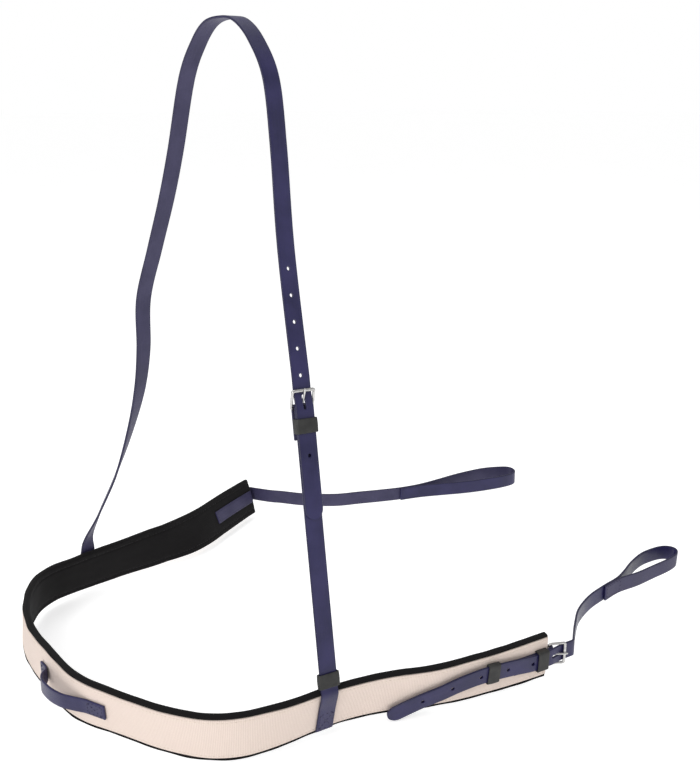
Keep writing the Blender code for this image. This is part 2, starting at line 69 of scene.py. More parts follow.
SLOT_WIDTH = 0.0034  # the hole in use is drawn out to this slot, so that the tongue can swing
WIRE = 0.0014  # radius of the buckle's wire
BUCKLE_WIDTH = 0.0232  # between the middles of the side bars
BUCKLE_LENGTH = 0.0175  # between the middles of the heel bar and the front bar
BUCKLE_CORNER = 0.002
TONGUE_RADIUS = 0.0012
TONGUE_LENGTH = 0.0208
TONGUE_EYE = 0.0030  # outer radius of the eye that turns on the heel bar
KEEPER_LENGTH = 0.014
KEEPER_WALL = 0.0015
KEEPER_PLAY = 0.0005
# The band's plan on each side, from the chest back: (length, degrees of turn towards the tail).
NEAR_RUNS = ((0.023, 0), (0.055, 25), (0.055, -1.5), (0.055, 14), (0.055, 40), (0.055, 11.5),
             (0.109, -26), (0.055, 13), (0.105, 7.5))
OFF_RUNS = ((0.031, 0), (0.048, 9.5), (0.048, 13), (0.048, 16), (0.048, 41), (0.048, 3), (0.099, 1),
            (0.099, -22), (0.098, 5))
# How far the band's top edge tips away from the horse: (distance round the band, degrees).
LEAN = ((-0.567, 2), (-0.480, 7), (-0.420, 12.5), (-0.345, 15), (-0.300, 13.5), (-0.230, 7.5),
        (-0.116, 7), (-0.023, 0), (0.031, 0), (0.168, -7), (0.230, -13.5), (0.300, -9.5),
        (0.370, 2), (0.430, 22), (0.500, 20), (0.567, 15))
NECK_AT_NEAR = -0.3155  # round the band, where the neck strap is sewn on
NECK_AT_OFF = 0.263
UP = Vector((0, 0, 1))
ON_LINING = LINING_THICKNESS + GAP + WEBBING_THICKNESS / 2
ON_WEBBING = LINING_THICKNESS + GAP + WEBBING_THICKNESS + GAP + STRAP_THICKNESS / 2
LAYER = STRAP_THICKNESS + GAP  # from one strap to the next one laid on it
FOLD_RADIUS = WIRE + GAP + STRAP_THICKNESS / 2  # of a chape's middle line, round the heel bar
FOLD_TURN = 15  # degrees between slices round a fold


def plan_station(runs, heading, hand, distance):
    """Point and heading DISTANCE along the runs; past the last run the course goes straight on."""
    x = y = 0.0
    for length, turn in runs:
        step = min(length, distance)
        curve = hand * math.radians(turn) / length
        if turn == 0:
            x += step * math.cos(heading)
            y += step * math.sin(heading)
        else:
            x += (math.sin(heading + curve * step) - math.sin(heading)) / curve
            y -= (math.cos(heading + curve * step) - math.cos(heading)) / curve
        heading += curve * step
        distance -= step
    return x + distance * math.cos(heading), y + distance * math.sin(heading), heading


def lean_at(distance):
    """The band's lean in radians, eased from each listed place to the next."""
    low, first = LEAN[0]
    for high, second in LEAN[1:]:
        if distance <= high:
            share = max(0.0, distance - low) / (high - low)
            eased = share * share * (3 - 2 * share)
            return math.radians(first + (second - first) * eased)
        low, first = high, second
    return math.radians(first)


def band_frame(distance):
    """The middle of the band's inner face there, and the directions up the band and out of it."""
    near = distance < 0
    runs, heading, hand = (NEAR_RUNS, -90, 1) if near else (OFF_RUNS, 90, -1)
    x, y, heading = plan_station(runs, math.radians(heading), hand, abs(distance))
    along = Vector((math.cos(heading), math.sin(heading), 0)) * (-1 if near else 1)
    level = UP.cross(along)
    lean = lean_at(distance)
    up = UP * math.cos(lean) + level * math.sin(lean)
    out = level * math.cos(lean) - UP * math.sin(lean)
    return Vector((x, y, 0)), up, out


def on_band(distance, outward, rise=0.0):
    """A point OUTWARD of the band's inner face and RISE up it."""
    point, up, out = band_frame(distance)
    return point + out * outward + up * rise


def round_band(start, end, outward, step=BAND_SLICE):
    """Stations round the band from START to END."""
    count = math.ceil(abs(end - start) / step)
    stations = []
    for i in range(count + 1):
        distance = start + (end - start) * i / count
        _, up, out = band_frame(distance)
        along = out.cross(up) * math.copysign(1, end - start)
        stations.append((on_band(distance, outward), along, out))
    return stations


def smooth(course, per_span):
    """A Catmull-Rom curve through a course."""
    ends = [course[0]] + course + [course[-1]]
    finer = []
    for before, start, end, after in zip(ends, ends[1:], ends[2:], ends[3:]):
        for i in range(per_span):
            t = i / per_span
            point = (start[0] * 2 + (end[0] - before[0]) * t
                     + (before[0] * 2 - start[0] * 5 + end[0] * 4 - after[0]) * t * t
                     + (start[0] * 3 - before[0] - end[0] * 3 + after[0]) * t ** 3) / 2
            finer.append((point, start[1].lerp(end[1], t)))
    return finer + [course[-1]]


def fold(point, along, side, radius):
    """A half turn towards SIDE, starting at the point."""
    centre = point + side * radius
    across = along.cross(side)
    turns = [math.radians(angle) for angle in range(0, 181, FOLD_TURN)]
    return [(centre + (along * math.sin(turn) - side * math.cos(turn)) * radius, across) for turn in turns]


def frames(course):
    """The stations of a course, square to it. The way out is the way across turned a quarter about it."""
    stations = []
    for i, (point, across) in enumerate(course):
        along = Vector()
        if i > 0:
            along += (point - course[i - 1][0]).normalized()
        if i < len(course) - 1:
            along += (course[i + 1][0] - point).normalized()
        along.normalize()
        stations.append((point, along, across.cross(along).normalized()))
    return stations


def length_of(stations):
    return sum((after[0] - before[0]).length for before, after in zip(stations, stations[1:]))


def station_at(stations, distance):
    """The station at a distance along the others."""
    for (point, along, out), (after, along_after, out_after) in zip(stations, stations[1:]):
        span = (after - point).length
        if distance <= span:
            share = distance / span
            along = along.lerp(along_after, share).normalized()
            out = out.lerp(out_after, share)
            return point.lerp(after, share), along, (out - along * out.dot(along)).normalized()
        distance -= span
    return stations[-1]


def seat(point, along, out):
    """Local X across the strap, Y along it and Z out of it."""
    return Matrix.Translation(point) @ Matrix((along.cross(out), along, out)).transposed().to_4x4()


def arc(x, y, radius, start, end, steps):
    """Points of an arc about (X, Y) between two angles in degrees, both ends included."""
    turns = [math.radians(start + (end - start) * i / steps) for i in range(steps + 1)]
    return [(x + radius * math.cos(turn), y + radius * math.sin(turn)) for turn in turns]


def rounded(width, height, radius, per_corner):
    """The outline of a rectangle with rounded corners about the origin."""
    outline = []
    for corner, (right, top) in enumerate(((1, 1), (-1, 1), (-1, -1), (1, -1))):
        outline += arc(right * (width / 2 - radius), top * (height / 2 - radius), radius,
                       90 * corner, 90 * (corner + 1), per_corner)
    return outline


BILLET_OVER_HEEL = FOLD_RADIUS + LAYER  # middle of the billet, above the heel bar's middle
BILLET_UNDER_FRONT = 0.0032  # and where it passes below the front bar
FRONT_HEIGHT = BILLET_UNDER_FRONT + STRAP_THICKNESS / 2 + GAP + WIRE
FRAME_TILT = math.asin(FRONT_HEIGHT / BUCKLE_LENGTH)
FRONT_REACH = BUCKLE_LENGTH * math.cos(FRAME_TILT)
TONGUE_TILT = math.atan((FRONT_HEIGHT + WIRE + GAP + TONGUE_RADIUS) / FRONT_REACH)
CHAPE_SLOT = 0.0042  # how far the chape is slotted back from the heel bar
BILLET_SLOT = (-0.0016, 0.0126)  # the billet's slot, along from the heel bar's middle
SLOT_DEPTH = (0.001, 0.014)  # its cutter's reach out from there, clear of the chape's far side
THROUGH = 0.010  # how far a cutter runs past what it cuts
NECK_REACH = 0.030  # the neck billet runs straight this far past the heel bar


def through_buckle(heel, along, out, reach):
    """The billet's course from over the heel bar to REACH past it, dipping below the front bar."""
    across = along.cross(out)
    profile = ((0.0, BILLET_OVER_HEEL), (0.003, BILLET_OVER_HEEL - 0.0006),
               (0.0115, BILLET_UNDER_FRONT + 0.0006), (0.0145, BILLET_UNDER_FRONT),
               (reach, BILLET_UNDER_FRONT))
    return [(heel + along * x + out * height, across) for x, height in profile]


def chape_end(heel, along, out, back):
    """The chape's course from BACK behind the heel bar, round the bar and back below it."""
    across = along.cross(out)
    turn = fold(heel + out * FOLD_RADIUS, along, -out, FOLD_RADIUS)
    turn = [(point, across) for point, _ in turn]
    return ([(turn[0][0] - along * back, across)] + turn + [(turn[-1][0] - along * back, across)])


# The centre loop stands off the band: (distance round the band, outward from its place on the webbing).
CENTRE_LOOP = ((-0.092, 0.0), (-0.080, 0.0), (-0.068, 0.0005), (-0.057, 0.004), (-0.045, 0.0085),
               (-0.032, 0.0112), (-0.020, 0.0120), (-0.010, 0.0112), (-0.002, 0.0075), (0.003, 0.0020),
               (0.009, 0.0), (0.020, 0.0))


def centre_course():
    return frames(smooth([(on_band(distance, ON_WEBBING + outward), band_frame(distance)[1])
                          for distance, outward in CENTRE_LOOP], 4))


NECK_HEEL = Vector((0.195, -0.161, 0.286))  # the buckle's heel bar
FOOT_RISE = 0.023  # the near strap leaves the band here, near its top edge
FOOT_OUT = 0.0100
NECK_TAIL = 0.095  # the billet hangs this far below the heel bar before its rounded tip
NECK_HOLES = (-2, -1, 1, 2, 3, 4, 5)  # in hole pitches above the buckle
CHAPE_TURNED_BACK = 0.030
KEEPER_BELOW_HEEL = 0.0165
BAND_KEEPER_RISE = 0.0150  # above the foot
# Over the withers and down the off side: place in millimetres, and the heading of the strap's width.
WITHERS = ((208, -120, 428, 0), (216, -99, 518, 2), (219, -84, 580, 2), (219, -60, 615, 2),
           (218, -36, 633, 2), (217, -12, 637, 2), (214, 13, 633, 2), (210, 32, 615, 2),
           (203, 47, 581, 2), (194, 60, 512, 2), (185, 69, 461, 3), (177, 87, 406, 5),
           (168, 102, 351, 7), (164, 101, 296, 12), (158, 104, 250, 24), (149, 116, 200, 42),
           (139, 140, 142, 60), (128, 171, 86, 58), (120, 193, 47, 35))


def heading(degrees):
    return Vector((math.cos(math.radians(degrees)), math.sin(math.radians(degrees)), 0))


def neck_chape(foot, along, out):
    """The short strap sewn to the near side of the band, folded round the buckle's heel bar."""
    across = along.cross(out)
    lower = [(on_band(NECK_AT_NEAR, ON_WEBBING, rise), across) for rise in (-0.0222, -0.008, 0.006)]
    leaving = [(foot + along * rise, across) for rise in (0.0, 0.006, 0.012, 0.030)]
    upper = chape_end(NECK_HEEL, along, out, CHAPE_TURNED_BACK)
    return frames(smooth(lower + leaving, 4) + upper)


def neck_billet(along, out):
    """The long strap with the holes, from its rounded tip up over the withers and down to the off side."""
    over = through_buckle(NECK_HEEL, along, out, NECK_REACH)
    tail = (NECK_HEEL - along * NECK_TAIL + out * BILLET_OVER_HEEL, over[0][1])
    withers = [(Vector((x, y, z)) / 1000, heading(degrees)) for x, y, z, degrees in WITHERS]
    _, up, band_out = band_frame(NECK_AT_OFF)
    off_way = -up.cross(band_out)
    down = [(on_band(NECK_AT_OFF, ON_WEBBING, rise), off_way) for rise in (0.025, 0.010, -0.0225)]
    course = [tail] + over[:-1] + smooth([over[-1]] + withers + down, 6)
    return frames([(point, -across) for point, across in reversed(course)])


def neck_line():
    """Where the near strap leaves the band, the way up it to the buckle and the way out of its face."""
    foot = on_band(NECK_AT_NEAR, FOOT_OUT, FOOT_RISE)
    out = band_frame(NECK_AT_NEAR)[2]
    for _ in range(2):
        along = (NECK_HEEL + out * FOLD_RADIUS - foot).normalized()
        out = (out - along * out.dot(along)).normalized()
    return foot, along, out


HEEL_PAST_END = 0.0035  # the heel bar's distance past the band's end
CHAPE_ON_BAND = 0.044
BILLET_PAST_HEEL = 0.0315  # from the heel bar to the crease where the free strap turns
CREASE_GAP = 0.0014  # a strap stops this far short of its crease on each side
# The billet's tail on the band: distance round the band, and how far its middle has dropped.
NEAR_TAIL = ((-0.394, -0.0220), (-0.4165, -0.0110), (-0.4370, -0.0040), (-0.4570, 0.0018),
             (-0.4790, 0.0046), (-0.5020, 0.0046), (-0.5220, 0.0030), (-0.5450, 0.0002), (-0.562, 0.0))
NEAR_HOLES = (1, 2, 3, 4, 5)
NEAR_PITCH = 0.0325  # the girth strap is punched more widely than the neck strap
SLIDING_KEEPER_AT = -0.494
FIXED_KEEPER_AT = -0.5565
# The free straps in plan and height, in millimetres, from past the crease round the loop to the end that
# is sewn back on. The third number is the height and the fourth is how far the strap's top edge tips.
NEAR_LOOP = ((471, -274, -2.5, 0), (491, -259, -3.5, 0), (517, -242, -3, 0), (548, -231.5, -1, 0),
             (578, -228, 1.2, 0), (606, -225.5, 2, 0), (628, -219, 2.5, 2), (650, -211.5, 4, 4),
             (675, -207, 6.5, 5), (695, -208, 7.7, 5), (711, -212, 8.2, 5), (719.5, -219, 7.8, 5),
             (721, -226, 6.5, 5), (714, -231.5, 4.6, 5), (697, -232.5, 2.8, 5), (671, -230.5, 1, 4),
             (640, -230, 0.5, 2), (606, -228.6, 2, 0), (577, -231.1, 1.2, 0))
OFF_LOOP = ((426, 260, 3, 0), (437, 245, 3.5, 0), (457, 217, 4, 0), (490, 187, 4.5, 0),
            (524, 172, 4.5, 0), (553, 162, 3.5, 0), (585, 153, 2.2, 0), (615, 146.5, 2, 0),
            (646, 143.5, 2.4, 0), (692, 141, 3.1, 0), (735, 134, 3.5, 0), (763, 123, 3, 0),
            (775, 115, 2, 0), (776, 105, 0.5, 0), (766, 98, -0.5, 0), (741, 99.5, -0.5, 0),
            (708, 108, -0.5, 0), (680, 117, 0, 0), (648, 129, 1, 0), (615, 141, 2, 0), (584, 149.9, 2.2, 0))
TIP_WAY = Vector((-0.6, -0.8, 0))  # the loops' top edges tip this way


def straight_on(side):
    """The middle of the band's end, the way straight on from it and the level way out."""
    point, _, _ = band_frame(side * BAND_END)
    beyond, _, _ = band_frame(side * 2 * BAND_END)
    along = (beyond - point).normalized()
    return point, along, along.cross(UP) * -side


def near_billet(heel, along, out):
    """From just short of the crease, under the front bar and over the heel bar, to the tail's tip."""
    tail = [(on_band(place, ON_WEBBING + LAYER, drop), -band_frame(place)[1]) for place, drop in NEAR_TAIL]
    course = smooth(tail, 3) + through_buckle(heel, along, out, BILLET_PAST_HEEL - CREASE_GAP)
    return frames([(point, -direction) for point, direction in reversed(course)])


def near_line():
    """The heel bar of the near girth buckle, the way on from it and the way out."""
    end, along, out = straight_on(-1)
    return end + along * HEEL_PAST_END + out * (ON_WEBBING - FOLD_RADIUS), along, out


def near_chape(heel, along, out):
    return (round_band(-BAND_END + CHAPE_ON_BAND, -BAND_END, ON_WEBBING)
            + frames(chape_end(heel, along, out, HEEL_PAST_END - 0.0018)))


def near_crease(heel, along, out):
    return heel + along * BILLET_PAST_HEEL + out * BILLET_UNDER_FRONT


def loop_course(crease, places):
    """The free strap from just past its crease, out round the loop and back to its sewn end."""
    course = []
    for x, y, z, tip in places:
        turn = math.radians(tip)
        course.append((Vector((x, y, z)) / 1000, UP * math.cos(turn) + TIP_WAY * math.sin(turn)))
    start = crease + (course[0][0] - crease).normalized() * CREASE_GAP
    return frames(smooth([(start, UP)] + course, 4))


OFF_PAST_END = 0.008
OFF_ON_BAND = 0.090


def off_anchor():
    """The stations of the part sewn to the band, and the crease just past the band's end."""
    end, along, out = straight_on(1)
    crease = end + along * OFF_PAST_END + out * ON_WEBBING
    stations = round_band(BAND_END - OFF_ON_BAND, BAND_END, ON_WEBBING)
    return stations + [(crease - along * CREASE_GAP, along, out)], crease


# ---- sweeping ----

def hermite(start, along_start, end, along_end, span, t):
    """A point between two stations, on the cubic that keeps both of their directions."""
    return ((2 * t ** 3 - 3 * t ** 2 + 1) * start + (t ** 3 - 2 * t ** 2 + t) * span * along_start
            + (3 * t ** 2 - 2 * t ** 3) * end + (t ** 3 - t ** 2) * span * along_end)


STRAIGHT_SPAN = 4  # a span longer than this many steps is kept straight


def refined(stations, step):
    """The stations at an even finer step, along a smooth curve through them."""
    points, alongs, outs = (np.array([station[i] for station in stations]) for i in range(3))
    spans = np.linalg.norm(np.diff(points, axis=0), axis=1)
    places = np.concatenate([[0], np.cumsum(spans)])
    count = max(2, math.ceil(places[-1] / step))
    finer = []
    for i in range(count + 1):
        at = places[-1] * i / count
        k = min(int(np.searchsorted(places, at, side="right")) - 1, len(spans) - 1)
        t = (at - places[k]) / spans[k]
        if spans[k] > STRAIGHT_SPAN * step:
            point = points[k] + (points[k + 1] - points[k]) * t
        else:
            point = hermite(points[k], alongs[k], points[k + 1], alongs[k + 1], spans[k], t)
        along = Vector(alongs[k] * (1 - t) + alongs[k + 1] * t).normalized()
        out = Vector(outs[k] * (1 - t) + outs[k + 1] * t)
        finer.append((Vector(point), along, (out - along * out.dot(along)).normalized()))
    return finer


def rim(half_width, half_thickness, radius, flat_steps, turns=3):
    """A strap's cross-section as (across, outward) points, with rounded edges."""
    points = []
    flat = half_width - radius
    for side in (-1, 1):
        for i in range(flat_steps + 1):
            points.append((side * (flat - 2 * flat * i / flat_steps), side * half_thickness))
        for i in range(1, 2 * turns):
            turn = math.pi * i / (2 * turns) + side * math.pi / 2
            points.append((-side * flat + radius * math.cos(turn), half_thickness * math.sin(turn)))
    return points


def linked(name, data):
    """A new object of this mesh, in the scene."""
    obj = bpy.data.objects.new(name, data)
    bpy.context.scene.collection.objects.link(obj)
    return obj


def mesh_object(name, verts, faces, uvs=None):
    data = bpy.data.meshes.new(name)
    data.from_pydata([tuple(v) for v in verts], [], faces)
    if uvs is not None:
        layer = data.uv_layers.new(name="UVMap")
        for loop in data.loops:
            layer.data[loop.index].uv = uvs[loop.vertex_index]
    data.validate()
    data.shade_smooth()
    return linked(name, data)


def from_bmesh(name, shape):
    data = bpy.data.meshes.new(name)
    shape.to_mesh(data)
    shape.free()
    return linked(name, data)


def outward(obj):
    """Turns the faces of a closed piece to face out."""
    shape = bmesh.new()
    shape.from_mesh(obj.data)
    bmesh.ops.recalc_face_normals(shape, faces=shape.faces)
    shape.to_mesh(obj.data)
    shape.free()


def skin(rings, sides, closed=False, base=0):
    """The faces between neighbouring rings of SIDES points each, capped unless the rings close up."""
    faces = []
    for i in range(rings if closed else rings - 1):
        here, there = base + i * sides, base + (i + 1) % rings * sides
        for j in range(sides):
            k = (j + 1) % sides
            faces.append((here + j, here + k, there + k, there + j))
    if not closed:
        last = base + (rings - 1) * sides
        faces.append(tuple(reversed(range(base, base + sides))))
        faces.append(tuple(range(last, last + sides)))
    return faces


HOLE_SHOWN = 0.0038  # the edges of the holes close up a little round them
END_ROUND = 0.0005  # how far back a strap's end starts to round off
END_RING = (0.90, 0.55)  # the end's width and thickness, as shares of the strap's
TIP_RING = (0.08, 0.6)  # the same for the very end of a rounded tip


def sweep(name, stations, section, tip=0.0, ends=END_ROUND, relief=None, back=False):
    """A closed strap: SECTION carried along the stations, rounded off at both ends.

    RELIEF(distance, across, outward) gives how far a surface point moves outwards. With BACK the face
    towards the horse takes the second material.
    """
    point, along, out = stations[0]
    rings = [(point, along, out, *END_RING, 0.0), (point + along * ends, along, out, 1.0, 1.0, 0.0)]
    distance = 0.0
    for (before, _, _), (point, along, out) in zip(stations, stations[1:]):
        distance += (point - before).length
        rings.append((point, along, out, 1.0, 1.0, distance))
    if tip:
        for angle in range(10, 86, 8):
            turn = math.radians(angle)
            ahead = tip * math.sin(turn)
            rings.append((point + along * ahead, along, out, math.cos(turn), 1.0, distance + ahead))
        rings.append((point + along * tip, along, out, *TIP_RING, distance + tip))
    else:
        rings[-1] = (point - along * ends, *rings[-1][1:])
        rings.append((point, along, out, *END_RING, distance))
    verts, uvs = [], []
    for point, along, out, wide, thick, at in rings:
        across = along.cross(out)
        for x, y in section:
            lift = relief(at, x, y) if relief else 0.0
            verts.append(point + across * x * wide + out * (y * thick + lift))
            uvs.append((x, at))
    count = len(section)
    obj = mesh_object(name, verts, skin(len(rings), count), uvs)
    outward(obj)
    if back:
        for i, face in enumerate(obj.data.polygons[:(len(rings) - 1) * count]):
            if section[i % count][1] < 0 and section[(i + 1) % count][1] < 0:
                face.material_index = 1
    return obj


def bore(obj, cutters):
    """Cuts the cutters out of the piece and removes them."""
    for cutter in cutters:
        cut = obj.modifiers.new("cut", "BOOLEAN")
        cut.object = cutter
        cut.solver = "EXACT"
    graph = bpy.context.evaluated_depsgraph_get()
    data = bpy.data.meshes.new_from_object(obj.evaluated_get(graph))
    obj.modifiers.clear()
    uncut, obj.data = obj.data, data
    name = uncut.name
    bpy.data.meshes.remove(uncut)
    obj.data.name = name
    for cutter in cutters:
        bpy.data.objects.remove(cutter)


def hole_cutter(matrix):
    shape = bmesh.new()
    bmesh.ops.create_cone(shape, cap_ends=True, segments=24, radius1=HOLE_SHOWN / 2, radius2=HOLE_SHOWN / 2,
                          depth=2 * THROUGH, matrix=matrix)
    return from_bmesh("hole_cutter", shape)


def slot_cutter(matrix, start, end, low, high):
    """A slot along the strap with round ends."""
    half = SLOT_WIDTH / 2
    outline = arc(0, end - half, half, 0, 180, 8) + arc(0, start + half, half, 180, 360, 8)
    verts = [matrix @ Vector((x, y, z)) for z in (low, high) for x, y in outline]
    return mesh_object("slot_cutter", verts, skin(2, len(outline)))


# ---- materials ----

class Nodes:
    """A material's node tree, built a node at a time."""

    def __init__(self, name):
        self.material = bpy.data.materials.new(name)
        self.material.use_nodes = True
        self.tree = self.material.node_tree
        self.shader = self.tree.nodes["Principled BSDF"]

    def add(self, kind, inputs=None, **settings):
        node = self.tree.nodes.new(kind)
        for key, value in settings.items():
            setattr(node, key, value)
        self.fill(node, inputs or {})
        return node

    def fill(self, node, inputs):
        for key, value in inputs.items():
            self.put(node, key, value)

    def put(self, node, key, value):
        if isinstance(value, bpy.types.NodeSocket):
            self.tree.links.new(value, node.inputs[key])
        else:
            node.inputs[key].default_value = value

    def math(self, operation, *values):
        return self.add("ShaderNodeMath", dict(enumerate(values)), operation=operation).outputs[0]

    def noise(self, vector, scale, detail=3.0, roughness=0.5):
        return self.add("ShaderNodeTexNoise", {"Vector": vector, "Scale": scale, "Detail": detail,
                                               "Roughness": roughness}).outputs["Fac"]

    def mix(self, share, first, second):
        return self.add("ShaderNodeMix", {0: share, 6: first, 7: second}, data_type="RGBA").outputs[2]

    def spread(self, value, low, high, to_low=0.0, to_high=1.0):
        return self.add("ShaderNodeMapRange", {"Value": value, "From Min": low, "From Max": high,
                                               "To Min": to_low, "To Max": to_high}).outputs[0]

    def place(self):
        return self.add("ShaderNodeTexCoord").outputs["Object"]

    def across_and_along(self):
        uv = self.add("ShaderNodeUVMap", uv_map="UVMap")
        parts = self.add("ShaderNodeSeparateXYZ", {0: uv.outputs[0]})
        return parts.outputs[0], parts.outputs[1]

    def bump(self, height, distance, strength, normal=None):
        inputs = {"Height": height, "Distance": distance, "Strength": strength}
        if normal is not None:
            inputs["Normal"] = normal
        return self.add("ShaderNodeBump", inputs).outputs[0]

    def wave(self, value, pitch):
        """A sine that repeats every PITCH."""
        return self.math("SINE", self.math("MULTIPLY", value, 2 * math.pi / pitch))

    def look(self, inputs):
        """Sets the shader's inputs and gives the material."""
        self.fill(self.shader, inputs)
        return self.material


RIB_PITCH = 0.0016  # the webbing's cross ribs
WARP_PITCH = 0.0009
WALE_PITCH = 0.0012  # the lining's knit
COURSE_PITCH = 0.0010


def strap_material(name, colour, mottle_and_gloss, rough):
    """Coated strap: fine pebble grain, faint long streaks raised in relief and also painted lighter as
    painted gloss, and darker towards the edges.
    """
    n = Nodes(name)
    where = n.place()
    across, along = n.across_and_along()
    cloud = n.noise(where, 35.0, 3.0)
    fine = n.noise(where, 900.0, 2.0)
    streak = n.add("ShaderNodeCombineXYZ", {0: n.math("MULTIPLY", across, 900.0),
                                            1: n.math("MULTIPLY", along, 14.0)})
    streaks = n.noise(streak.outputs[0], 1.0, 2.0)
    edge = n.spread(n.math("ABSOLUTE", across), STRAP_WIDTH / 2 - 0.0012, STRAP_WIDTH / 2 - 0.0003, 0.0, 0.55)
    base = n.mix(n.spread(cloud, 0.35, 0.7), colour, mottle_and_gloss)
    # painted gloss: the long streaks lighten the colour towards the second tone, standing in for streaks of
    # reflection; their relief is real bump
    base = n.mix(n.spread(streaks, 0.45, 0.75, 0.0, 0.35), base, mottle_and_gloss)
    # the colour darkens towards the strap's edges
    base = n.mix(edge, base, tuple(c * 0.45 for c in colour[:3]) + (1.0,))
    cells = n.add("ShaderNodeTexVoronoi", {"Vector": where, "Scale": 1500.0}, feature="DISTANCE_TO_EDGE")
    normal = n.bump(n.spread(cells.outputs[0], 0.0, 0.25), 0.00004, 0.55)
    normal = n.bump(streaks, 0.00006, 0.5, normal)
    rough = n.spread(n.math("ADD", cloud, fine), 0.7, 1.3, rough - 0.07, rough + 0.09)
    return n.look({"Base Color": base, "Roughness": rough, "Specular IOR Level": 0.36,
                   "Normal": n.bump(n.noise(where, 220.0), 0.00012, 0.45, normal)})


def webbing_material():
    """Cream webbing: cross ribs with a plain weave of warp threads over them, with painted shade darkening
    the grooves of the weave, soiled a little in places.
    """
    n = Nodes("cream_webbing")
    where = n.place()
    across, along = n.across_and_along()
    rib = n.wave(along, RIB_PITCH)
    warp = n.math("SINE", n.math("ADD", n.math("MULTIPLY", across, 2 * math.pi / WARP_PITCH),
                                 n.math("MULTIPLY", n.math("SIGN", rib), math.pi / 2)))
    cloud = n.noise(where, 22.0, 4.0)
    yarn = n.noise(where, 1400.0, 2.0)
    height = n.math("ADD", n.math("MULTIPLY", rib, 0.6), n.math("MULTIPLY", warp, 0.4))
    # painted shade: the weave's grooves are coloured darker and its crests lighter
    groove_shade_and_soil = n.mix(n.spread(height, -1.0, 1.0), (0.62, 0.50, 0.435, 1), (0.82, 0.70, 0.625, 1))
    groove_shade_and_soil = n.mix(n.spread(cloud, 0.4, 0.75, 0.0, 0.35), groove_shade_and_soil, (0.70, 0.565, 0.50, 1))
    groove_shade_and_soil = n.mix(n.spread(yarn, 0.3, 0.8, 0.0, 0.18), groove_shade_and_soil, (0.90, 0.80, 0.73, 1))
    normal = n.bump(height, 0.00016, 0.8)
    return n.look({"Base Color": groove_shade_and_soil, "Roughness": n.spread(yarn, 0.2, 0.8, 0.78, 0.95),
                   "Sheen Weight": 0.25, "Normal": n.bump(yarn, 0.00006, 0.5, normal)})


def lining_material():
    """Black brushed lining: short nap over fine knit wales."""
    n = Nodes("black_lining")
    where = n.place()
    across, along = n.across_and_along()
    nap = n.noise(where, 1600.0, 4.0, 0.7)
    cloud = n.noise(where, 40.0, 3.0)
    base = n.mix(n.spread(nap, 0.3, 0.75), (0.0022, 0.0020, 0.0022, 1), (0.0095, 0.0085, 0.0092, 1))
    base = n.mix(n.math("MULTIPLY", cloud, 0.4), base, (0.0070, 0.0060, 0.0066, 1))
    knit = n.math("MULTIPLY", n.wave(along, WALE_PITCH), n.wave(across, COURSE_PITCH))
    normal = n.bump(knit, 0.00012, 0.6)
    return n.look({"Base Color": base, "Roughness": 0.93, "Sheen Weight": 0.04, "Specular IOR Level": 0.16,
                   "Normal": n.bump(nap, 0.0002, 0.6, normal)})


def keeper_material():
    """Dark grey moulded rubber, dusty in random patches."""
    n = Nodes("grey_rubber")
    where = n.place()
    cloud = n.noise(where, 120.0, 3.0)
    fine = n.noise(where, 1800.0, 2.0)
    base = n.mix(n.spread(cloud, 0.35, 0.7), (0.012, 0.012, 0.0115, 1), (0.024, 0.024, 0.023, 1))
    return n.look({"Base Color": base, "Roughness": n.spread(fine, 0.3, 0.7, 0.55, 0.72),
                   "Normal": n.bump(fine, 0.00005, 0.6)})


def nickel_material():
    """Polished nickel plate with hairline scratches and dull patches from handling."""
    n = Nodes("nickel_plate")
    where = n.place()
    cloud = n.noise(where, 260.0, 4.0)
    stretched = n.add("ShaderNodeMapping", {"Vector": where, "Scale": (400.0, 4000.0, 4000.0)})
    hair = n.noise(stretched.outputs[0], 1.0, 2.0)
    base = n.mix(n.spread(cloud, 0.35, 0.7), (0.60, 0.59, 0.58, 1), (0.40, 0.395, 0.39, 1))
    rough = n.spread(n.math("ADD", cloud, hair), 0.7, 1.3, 0.16, 0.34)
    return n.look({"Base Color": base, "Metallic": 1.0, "Roughness": rough,
                   "Normal": n.bump(hair, 0.00002, 0.35)})


def thread_material(name, colour):
    """Twisted sewing thread, with painted shade darkening the grooves of the twist."""
    n = Nodes(name)
    twist = n.add("ShaderNodeTexWave", {"Vector": n.place(), "Scale": 900.0, "Distortion": 1.0},
                  bands_direction="DIAGONAL").outputs["Fac"]
    # painted shade: the grooves of the twist are coloured darker
    base = n.mix(twist, tuple(0.7 * c for c in colour) + (1.0,), colour + (1.0,))
    return n.look({"Base Color": base, "Roughness": 0.7, "Normal": n.bump(twist, 0.00008, 0.7)})


NAVY = strap_material("navy_strap", (0.0115, 0.0105, 0.054, 1), (0.024, 0.021, 0.086, 1), 0.36)
NAVY_BACK = strap_material("navy_strap_back", (0.030, 0.027, 0.072, 1), (0.052, 0.047, 0.104, 1), 0.52)
CREAM = webbing_material()
BLACK = lining_material()
RUBBER = keeper_material()
NICKEL = nickel_material()
NAVY_THREAD = thread_material("navy_thread", (0.020, 0.016, 0.055))
CREAM_THREAD = thread_material("cream_thread", (0.80, 0.68, 0.58))
BLACK_THREAD = thread_material("black_thread", (0.02, 0.018, 0.02))


def dress(obj, nodes, materials, body=None):
    """Says which nodes the piece replaces, and gives it its materials and the body it rides."""
    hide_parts(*nodes)
    for material in materials:
        obj.data.materials.append(material)
    if body:
        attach(obj, body)
    return obj


# ---- stitching ----

STITCH = 0.0030  # length of a stitch that shows
STITCH_PITCH = 0.0042
THREAD = 0.00034  # radius of the thread


THREAD_SIDES, THREAD_RINGS = 6, 5
BOW = 0.0004  # how high a stitch stands in the middle
LEAST_STITCH = 0.0004  # a shorter one, in a tight corner, is left out
ROW_STEP = 0.003  # between points of a row that follows the strap
ROW_INSET = 0.0022  # from the strap's edge to a row
ROW_START = 0.003  # from the strap's end to the first row


